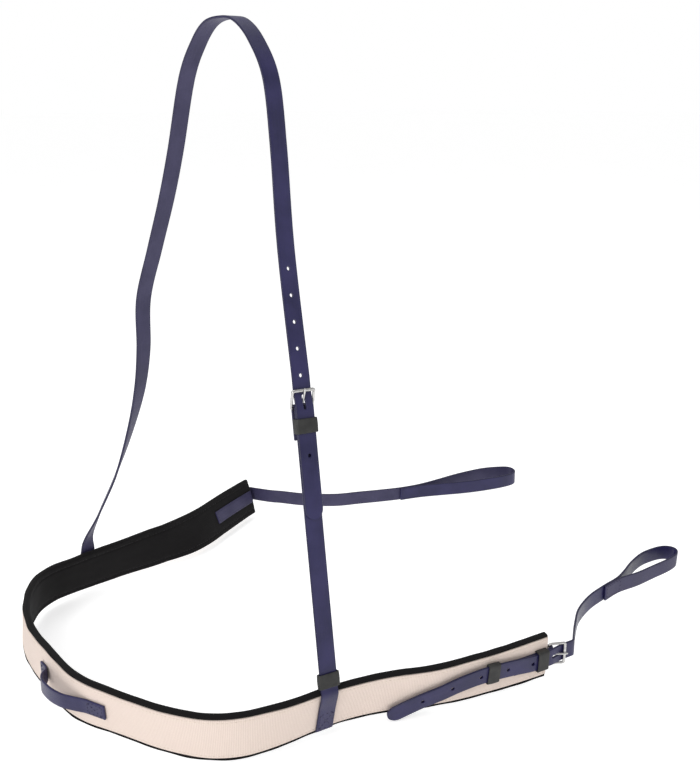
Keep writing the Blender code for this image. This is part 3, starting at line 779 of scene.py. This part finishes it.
def stitch_shape(verts, faces, start, end, out, bow):
    """One stitch: thread that comes up at START, bows over and goes down at END."""
    along = end - start
    side = along.cross(out).normalized()
    faces += skin(THREAD_RINGS, THREAD_SIDES, base=len(verts))
    for i in range(THREAD_RINGS):
        t = i / (THREAD_RINGS - 1)
        rise = bow * math.sin(math.pi * t) ** 0.6 - THREAD * 0.9
        centre = start + along * t + out * rise
        radius = THREAD * (0.55 + 0.45 * math.sin(math.pi * t))
        for j in range(THREAD_SIDES):
            turn = 2 * math.pi * j / THREAD_SIDES
            verts.append(centre + side * math.cos(turn) * radius + out * math.sin(turn) * radius)


def along_path(path, distance):
    """The point and the way out at a distance along a path."""
    for (a, out_a), (b, out_b) in zip(path, path[1:]):
        span = (b - a).length
        if distance <= span and span > 0:
            share = distance / span
            return a.lerp(b, share), out_a.lerp(out_b, share).normalized()
        distance -= span
    return path[-1]


def seam(name, rows, material=NAVY_THREAD, body="band", bow=BOW):
    """Stitches along rows of (point, out) on the surface."""
    verts, faces = [], []
    for path in rows:
        total = sum((b - a).length for (a, _), (b, _) in zip(path, path[1:]))
        count = max(1, round(total / STITCH_PITCH))
        step = total / count
        for i in range(count):
            low, out = along_path(path, max(0.0, i * step + (step - STITCH) / 2))
            high, _ = along_path(path, min(total, i * step + (step + STITCH) / 2))
            if (high - low).length > LEAST_STITCH:
                stitch_shape(verts, faces, low, high, out, bow)
    obj = mesh_object(name, verts, faces)
    outward(obj)
    obj.data.materials.append(material)
    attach(obj, body)


def row(stations, start, x_start, end, x_end, height, steps=8):
    """A row over a strap's face, HEIGHT out of its middle, between two (distance, across) places."""
    path = []
    for i in range(steps + 1):
        t = i / steps
        point, along, out = station_at(stations, start + (end - start) * t)
        x = x_start + (x_end - x_start) * t
        path.append((point + along.cross(out) * x + out * height, out * math.copysign(1, height)))
    return path


def long_rows(stations, start, end, edge, height):
    """A row along each side, EDGE from the middle."""
    steps = max(1, math.ceil((end - start) / ROW_STEP))
    return [row(stations, start, x, end, x, height, steps) for x in (-edge, edge)]


def box_stitch(stations, start, end, width=STRAP_WIDTH, cross=False, height=STRAP_THICKNESS / 2):
    """The rows that sew a strap down: a rectangle, with a cross inside it if asked."""
    edge = width / 2 - ROW_INSET
    rows = long_rows(stations, start, end, edge, height)
    rows += [row(stations, at, -edge, at, edge, height) for at in (start, end)]
    if cross:
        rows += [row(stations, start, x, end, -x, height) for x in (-edge, edge)]
    return rows


# ---- the band ----

FINE = 0.0025  # between rings of a swept strap
FINER = 0.0018  # the same on a strap that bends sharply
WEBBING_SEAM = WEBBING_HEIGHT / 2 - 0.003
LINING_RIM = 0.0021
WEBBING_RIM = 0.0011
STRAP_RIM = 0.0009
EDGE_ROLL = 0.0026  # the padding stands out this far beside the webbing
ROLL_WIDTH = 0.0015
CREASE_LINE = 0.0016  # from the strap's edge to the line pressed along it
SEAM_FROM_END = 0.002
SEAM_STEP = 0.004


def dip(x, place, width):
    """A groove's depth as a share, X across, for a groove at PLACE on both sides of the middle."""
    return math.exp(-((abs(x) - place) / width) ** 2)


def padding(at, x, y):
    """The foam swells between the two seams, is drawn in along them and rolls out past the webbing."""
    swell = 0.00035 * noise(Vector((at * 60, x * 90, y * 200)))
    if y < 0:
        puckers = 0.6 + 0.4 * math.cos(2 * math.pi * at / STITCH_PITCH)
        crown = 0.0009 * (1 - (x / (LINING_HEIGHT / 2)) ** 2)
        return 0.0011 * dip(x, WEBBING_SEAM, 0.0016) * puckers - crown + swell
    past = (abs(x) - WEBBING_HEIGHT / 2 - GAP) / ROLL_WIDTH
    if past <= 0:
        return 0.0
    uneven = 1 + 0.35 * noise(Vector((at * 45, math.copysign(4, x), 8.0)))
    return EDGE_ROLL * uneven * math.sin(math.pi / 2 * min(1.0, past)) * y / (LINING_THICKNESS / 2)


def ribs(at, x, y):
    """Cross ribs, and a selvedge pressed thinner along each edge."""
    if y <= 0:
        return 0.0
    selvedge = 0.00016 if abs(x) > WEBBING_HEIGHT / 2 - 0.0016 else 0.0
    pinch = 0.00022 * dip(x, WEBBING_SEAM, 0.0010)
    return 0.00009 * math.cos(2 * math.pi * at / RIB_PITCH) - selvedge - pinch - 0.0001


def band():
    middle = LINING_THICKNESS / 2
    stations = refined(round_band(-BAND_END, BAND_END, middle, 0.003), FINE)
    section = rim(LINING_HEIGHT / 2, middle, LINING_RIM, 64, turns=6)
    lining = sweep("padded_lining", stations, section, ends=0.0012, relief=padding)
    dress(lining, ["band_lining"], [BLACK], "band")

    stations = refined(round_band(-BAND_END, BAND_END, ON_LINING, 0.003), RIB_PITCH / 2)
    section = rim(WEBBING_HEIGHT / 2, WEBBING_THICKNESS / 2, WEBBING_RIM, 28)
    webbing = sweep("ribbed_webbing", stations, section, relief=ribs)
    dress(webbing, ["band_webbing"], [CREAM], "band")

    stations = refined(round_band(-BAND_END, BAND_END, middle, SEAM_STEP), SEAM_STEP)
    ends = SEAM_FROM_END, length_of(stations) - SEAM_FROM_END
    outer = middle + GAP + WEBBING_THICKNESS - 0.0003
    seam("webbing_seams", long_rows(stations, *ends, WEBBING_SEAM, outer), CREAM_THREAD)
    seam("lining_seams", long_rows(stations, *ends, WEBBING_SEAM, 0.0002 - middle), BLACK_THREAD,
         bow=0.0003)


def pressed(width):
    """The relief of a strap: a line pressed along each edge, and a slightly uneven face."""
    def relief(at, x, y):
        line = dip(x, width / 2 - CREASE_LINE, 0.00028)
        uneven = 0.00008 * noise(Vector((at * 70, x * 120, 3.0)))
        return (-0.00016 * line + uneven) * math.copysign(1, y) if abs(y) > STRAP_RIM else 0.0
    return relief


def strap(name, stations, nodes, body="band", tip=0.0, width=STRAP_WIDTH, thickness=STRAP_THICKNESS):
    section = rim(width / 2, thickness / 2, STRAP_RIM, 24)
    obj = sweep(name, stations, section, tip, relief=pressed(width), back=True)
    return dress(obj, nodes, [NAVY, NAVY_BACK], body)


def inner_patches():
    for name, side in (("near_inner_patch", -1), ("off_inner_patch", 1)):
        start = BAND_END - PATCH_FROM_END
        course = round_band(side * start, side * (start - PATCH_LENGTH), -(GAP + PATCH_THICKNESS / 2), 0.003)
        stations = refined(course, FINE)
        strap(name + "_strap", stations, [name], width=PATCH_WIDTH, thickness=PATCH_THICKNESS)
        seam(name + "_seam", box_stitch(stations, ROW_START, length_of(stations) - ROW_START,
                                        PATCH_WIDTH, height=-PATCH_THICKNESS / 2))


def centre():
    stations = refined(centre_course(), FINER)
    strap("centre_loop_strap", stations, ["centre_loop"], width=CENTRE_LOOP_WIDTH)
    total = length_of(stations)
    seam("centre_loop_seam", box_stitch(stations, ROW_START, 0.021, CENTRE_LOOP_WIDTH, True)
         + box_stitch(stations, total - 0.0125, total - ROW_START, CENTRE_LOOP_WIDTH, True))


# ---- buckles and keepers ----

def tube(path, radius, closed=True, sides=16):
    """A round bar along a path of (point, radius share); closed into a ring, or capped."""
    count = len(path)
    verts = []
    for i, (point, share) in enumerate(path):
        before = path[i - 1][0] if closed or i else point
        after = path[(i + 1) % count][0] if closed or i < count - 1 else point
        along = (after - before).normalized()
        side = (UP - along * UP.dot(along)).normalized()
        other = along.cross(side)
        for j in range(sides):
            turn = 2 * math.pi * j / sides
            verts.append(point + (side * math.cos(turn) + other * math.sin(turn)) * radius * share)
    return verts, skin(count, sides, closed)


def walked(outline, step):
    """A closed outline with more points along its sides, about STEP apart."""
    path = []
    for (x, y), (x2, y2) in zip(outline, outline[1:] + outline[:1]):
        steps = max(1, round(math.hypot(x2 - x, y2 - y) / step))
        path += [(x + (x2 - x) * i / steps, y + (y2 - y) * i / steps) for i in range(steps)]
    return path


FRONT_BAR = 1.18  # the front bar's thickness as a share of the other bars'
PIN_STEPS = 24
PIN_TAPER = 0.25  # how much thinner the pin is at its tip
PIN_BEND_FROM = 0.72  # the pin droops from here, as a share of its length
PIN_DROOP = 0.0006
PIN_ROUND_FROM = 0.93  # and its tip is rounded from here
EYE_RINGS, EYE_SIDES = 28, 12
EYE_WIDTH = 1.25  # the eye's half width as a share of the pin's radius


def metal(name, node, place, verts, faces):
    obj = mesh_object(name, [place @ vert for vert in verts], faces)
    outward(obj)
    dress(obj, [node], [NICKEL], node)


def buckle_ring(prefix, place):
    path = []
    for x, y in walked(rounded(BUCKLE_WIDTH, BUCKLE_LENGTH, BUCKLE_CORNER, 6), 0.0018):
        at = y + BUCKLE_LENGTH / 2
        path.append((Vector((x, at, 0)), FRONT_BAR if at > BUCKLE_LENGTH - WIRE else 1.0))
    verts, faces = tube(path, WIRE)
    metal(prefix + "_buckle_ring", prefix + "_buckle_frame", place @ Matrix.Rotation(FRAME_TILT, 4, "X"),
          verts, faces)


def buckle_pin(prefix, place):
    """The tongue: a tapering pin with an eye round the heel bar."""
    inner = WIRE + GAP
    middle = (inner + TONGUE_EYE) / 2
    pin = []
    for i in range(PIN_STEPS + 1):
        t = i / PIN_STEPS
        droop = -PIN_DROOP * max(0.0, (t - PIN_BEND_FROM) / (1 - PIN_BEND_FROM)) ** 2
        tip = max(0.0, (t - PIN_ROUND_FROM) / (1 - PIN_ROUND_FROM))
        share = (1 - PIN_TAPER * t) * math.sqrt(max(0.05, 1 - tip ** 2))
        pin.append((Vector((0, middle + (TONGUE_LENGTH - middle) * t, droop)), share))
    verts, faces = tube(pin, TONGUE_RADIUS, closed=False)
    faces += skin(EYE_RINGS, EYE_SIDES, closed=True, base=len(verts))
    for i in range(EYE_RINGS):
        turn = 2 * math.pi * i / EYE_RINGS
        radial = Vector((0, math.cos(turn), math.sin(turn)))
        for j in range(EYE_SIDES):
            turn = 2 * math.pi * j / EYE_SIDES
            verts.append(radial * (middle + (TONGUE_EYE - inner) / 2 * math.cos(turn))
                         + Vector((EYE_WIDTH * TONGUE_RADIUS * math.sin(turn), 0, 0)))
    metal(prefix + "_buckle_pin", prefix + "_buckle_tongue", place @ Matrix.Rotation(TONGUE_TILT, 4, "X"),
          verts, faces)


KEEPER_RIM = 0.00055
KEEPER_SECTION = rim(KEEPER_LENGTH / 2, KEEPER_WALL / 2, KEEPER_RIM, 8)
KEEPER_CROWN = 0.00012  # the keeper's outside swells this much in the middle


def keeper_piece(name, node, point, along, out, layers):
    """A rubber ring: its wall's rounded section carried round the strap."""
    hole = (STRAP_WIDTH + 2 * KEEPER_PLAY, layers * LAYER - GAP + 2 * KEEPER_PLAY)
    place = seat(point, along, out)
    path = walked(rounded(hole[0] + KEEPER_WALL, hole[1] + KEEPER_WALL, KEEPER_WALL, 6), 0.0016)
    verts = []
    for i, (x, y) in enumerate(path):
        before, after = path[i - 1], path[(i + 1) % len(path)]
        way = Vector((after[0] - before[0], after[1] - before[1], 0)).normalized()
        for length, height in KEEPER_SECTION:
            crown = KEEPER_CROWN * math.cos(math.pi * length / (KEEPER_LENGTH / 2)) if height > 0 else 0.0
            p = Vector((x, y, 0)) + Vector((way.y, -way.x, 0)) * (height + crown)
            verts.append(place @ Vector((p.x, length, p.y)))
    obj = mesh_object(name, verts, skin(len(path), len(KEEPER_SECTION), closed=True))
    outward(obj)
    dress(obj, [node], [RUBBER], node)


def fixed_keeper():
    """The keeper sewn to the band: a bridge of rubber with a foot at each side."""
    _, up, out = band_frame(FIXED_KEEPER_AT)
    foot = on_band(FIXED_KEEPER_AT, LINING_THICKNESS + WEBBING_THICKNESS + 2 * GAP)
    along = up.cross(out)
    height = 2 * LAYER + KEEPER_PLAY + KEEPER_WALL / 2
    half = STRAP_WIDTH / 2 + KEEPER_PLAY + KEEPER_WALL / 2
    corner = 0.0016
    path = [(-half, 0.0)] + arc(corner - half, height - corner, corner, 180, 90, 6)
    path += [(corner - half + 2 * (half - corner) * i / 12, height) for i in range(1, 12)]
    path += arc(half - corner, height - corner, corner, 90, 0, 6) + [(half, 0.0)]
    points = [foot + up * x + out * y for x, y in path]
    stations = []
    for before, point, after in zip(points[:1] + points, points, points[1:] + points[-1:]):
        way = (after - before).normalized()
        stations.append((point, way, way.cross(along)))
    obj = sweep("fixed_rubber_keeper", stations, KEEPER_SECTION, ends=0.0)
    dress(obj, ["near_fixed_keeper"], [RUBBER], "band")


# ---- neck and girth straps ----

NECK_FOOT_SEWN = 0.022  # the sewn length of each end of the neck strap
NECK_OFF_SEWN = 0.030
LOOP_SEWN = 0.030


def chape_strap(name, node, stations, place):
    """A strap folded round a heel bar, with a slot there for the tongue."""
    obj = strap(name, stations, [node], body=None)
    bore(obj, [slot_cutter(place, -CHAPE_SLOT, THROUGH, -THROUGH, THROUGH)])
    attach(obj, "band")


def punch(obj, billet, distances, place):
    """Punches a hole at each distance along the billet, and cuts the slot for the tongue."""
    cutters = [hole_cutter(seat(*station_at(billet, distance))) for distance in distances]
    bore(obj, cutters + [slot_cutter(place, *BILLET_SLOT, *SLOT_DEPTH)])


def neck():
    foot, along, out = neck_line()
    place = seat(NECK_HEEL, along, out)
    chape = refined(neck_chape(foot, along, out), FINER)
    chape_strap("near_neck_chape", "near_neck_strap", chape, place)
    seam("near_neck_seam", box_stitch(chape, ROW_START, NECK_FOOT_SEWN, cross=True))

    billet = neck_billet(along, out)
    fine = refined(billet, FINE)
    off = strap("neck_billet", fine, ["off_neck_strap"], body=None, tip=TIP_RADIUS)
    in_use = length_of(billet) - NECK_TAIL - sum(BILLET_SLOT) / 2
    punch(off, billet, [in_use - pitch * HOLE_PITCH for pitch in NECK_HOLES], place)
    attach(off, "band")
    seam("off_neck_seam", box_stitch(fine, ROW_START, NECK_OFF_SEWN, cross=True))

    buckle_ring("neck", place)
    buckle_pin("neck", place)
    middle = NECK_HEEL + out * (FOLD_RADIUS + LAYER / 2) - along * KEEPER_BELOW_HEEL
    keeper_piece("neck_rubber_keeper", "neck_keeper", middle, along, out, 2)
    keeper_piece("band_rubber_keeper", "band_keeper", foot + along * BAND_KEEPER_RISE, along, out, 1)


def across_crease(first, second):
    """One course over the crease: the two ends are joined by a smooth bend."""
    (start, along_start, out_start), (end, along_end, out_end) = first[-1], second[0]
    bend = []
    for i in range(1, 6):
        t = i / 6
        along = along_start.lerp(along_end, t).normalized()
        out = out_start.lerp(out_end, t)
        bend.append((hermite(start, along_start, end, along_end, (end - start).length, t), along,
                     (out - along * out.dot(along)).normalized()))
    return refined(first + bend + second, FINE)


def sew_loop(side, loop):
    total = length_of(loop)
    seam(side + "_loop_seam", box_stitch(loop, total - LOOP_SEWN, total - ROW_START),
         body=side + "_girth_loop")


def near_side():
    heel, along, out = near_line()
    place = seat(heel, along, out)
    chape = refined(near_chape(heel, along, out), FINER)
    chape_strap("near_girth_chape_strap", "near_girth_chape", chape, place)

    billet = near_billet(heel, along, out)
    crease = near_crease(heel, along, out)
    loop = loop_course(crease, NEAR_LOOP)
    free = [(point, -way, -face) for point, way, face in reversed(loop)]
    girth = strap("near_girth_strap", across_crease(free, billet), ["near_girth_billet", "near_girth_loop"],
                  body=None, tip=TIP_RADIUS)
    in_use = BILLET_PAST_HEEL - CREASE_GAP - sum(BILLET_SLOT) / 2
    punch(girth, billet, [in_use + pitch * NEAR_PITCH for pitch in NEAR_HOLES], place)
    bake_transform(girth)
    sew_loop("near", loop)

    buckle_ring("near", place)
    buckle_pin("near", place)
    keeper_at = on_band(SLIDING_KEEPER_AT, ON_WEBBING + LAYER)
    nearest = min(billet, key=lambda station: (station[0] - keeper_at).length)
    keeper_piece("near_rubber_keeper", "near_sliding_keeper", *nearest, 1)
    fixed_keeper()


def off_side():
    anchor, crease = off_anchor()
    loop = loop_course(crease, OFF_LOOP)
    girth = strap("off_girth_strap", across_crease(anchor, loop), ["off_girth_anchor", "off_girth_loop"],
                  body=None)
    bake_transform(girth)
    seam("off_anchor_seam", box_stitch(anchor, ROW_START, OFF_ON_BAND - ROW_START, cross=True))
    sew_loop("off", loop)


# ---- studio ----

CAMERA_TARGET = Vector((0.356, -0.025, 0.2425))
CAMERA_AZIMUTH, CAMERA_ELEVATION, CAMERA_DISTANCE = -37.5, 16.3, 1.1406
FOCAL_LENGTH, SENSOR_WIDTH = 46.1, 36
FLOOR = -0.0352
FLOOR_SIZE = 40.0
FLOOR_GLOW = 0.50
WORLD_LIGHT, WORLD_SEEN = 0.55, 1.0  # the world lights the piece less brightly than it looks behind it
LIGHTS = (("key", (-1.9, -0.9, 1.6), 31, 1.2), ("fill", (1.9, -1.4, 0.9), 3, 1.6),
          ("top", (0.3, 0.4, 2.4), 12, 2.0))  # name, place, watts, size


def aimed(name, data, place):
    """A light or a camera at a place, turned to the middle of the piece."""
    obj = linked(name, data)
    obj.location = place
    obj.rotation_euler = (CAMERA_TARGET - place).to_track_quat("-Z", "Y").to_euler()
    return obj


def studio():
    shape = bmesh.new()
    bmesh.ops.create_grid(shape, x_segments=24, y_segments=24, size=FLOOR_SIZE,
                          matrix=Matrix.Translation((0, 0, FLOOR)))
    floor = from_bmesh("floor", shape)
    n = Nodes("pale_floor")
    base = n.mix(n.noise(n.place(), 3.0), (0.88, 0.88, 0.88, 1), (0.92, 0.92, 0.92, 1))
    floor.data.materials.append(n.look({
        "Base Color": base, "Roughness": 0.9, "Specular IOR Level": 0.1,
        "Emission Color": (1, 1, 1, 1), "Emission Strength": FLOOR_GLOW}))

    world = bpy.data.worlds.new("studio")
    world.use_nodes = True
    tree = world.node_tree
    path = tree.nodes.new("ShaderNodeLightPath")
    level = tree.nodes.new("ShaderNodeMapRange")
    level.inputs["To Min"].default_value = WORLD_LIGHT
    level.inputs["To Max"].default_value = WORLD_SEEN
    tree.links.new(path.outputs["Is Camera Ray"], level.inputs["Value"])
    background = tree.nodes["Background"]
    background.inputs["Color"].default_value = (1.0, 1.0, 1.0, 1)
    tree.links.new(level.outputs[0], background.inputs["Strength"])
    bpy.context.scene.world = world
    for name, place, power, size in LIGHTS:
        light = bpy.data.lights.new(name, "AREA")
        light.energy, light.size = power, size
        aimed(name, light, Vector(place))

    azimuth, elevation = math.radians(CAMERA_AZIMUTH), math.radians(CAMERA_ELEVATION)
    back = Vector((math.sin(azimuth) * math.cos(elevation), -math.cos(azimuth) * math.cos(elevation),
                   math.sin(elevation)))
    data = bpy.data.cameras.new("camera")
    data.lens, data.sensor_width = FOCAL_LENGTH, SENSOR_WIDTH
    bpy.context.scene.camera = aimed("camera", data, CAMERA_TARGET + back * CAMERA_DISTANCE)
    bpy.context.scene.view_settings.view_transform = "Standard"


band()
inner_patches()
centre()
neck()
near_side()
off_side()
studio()
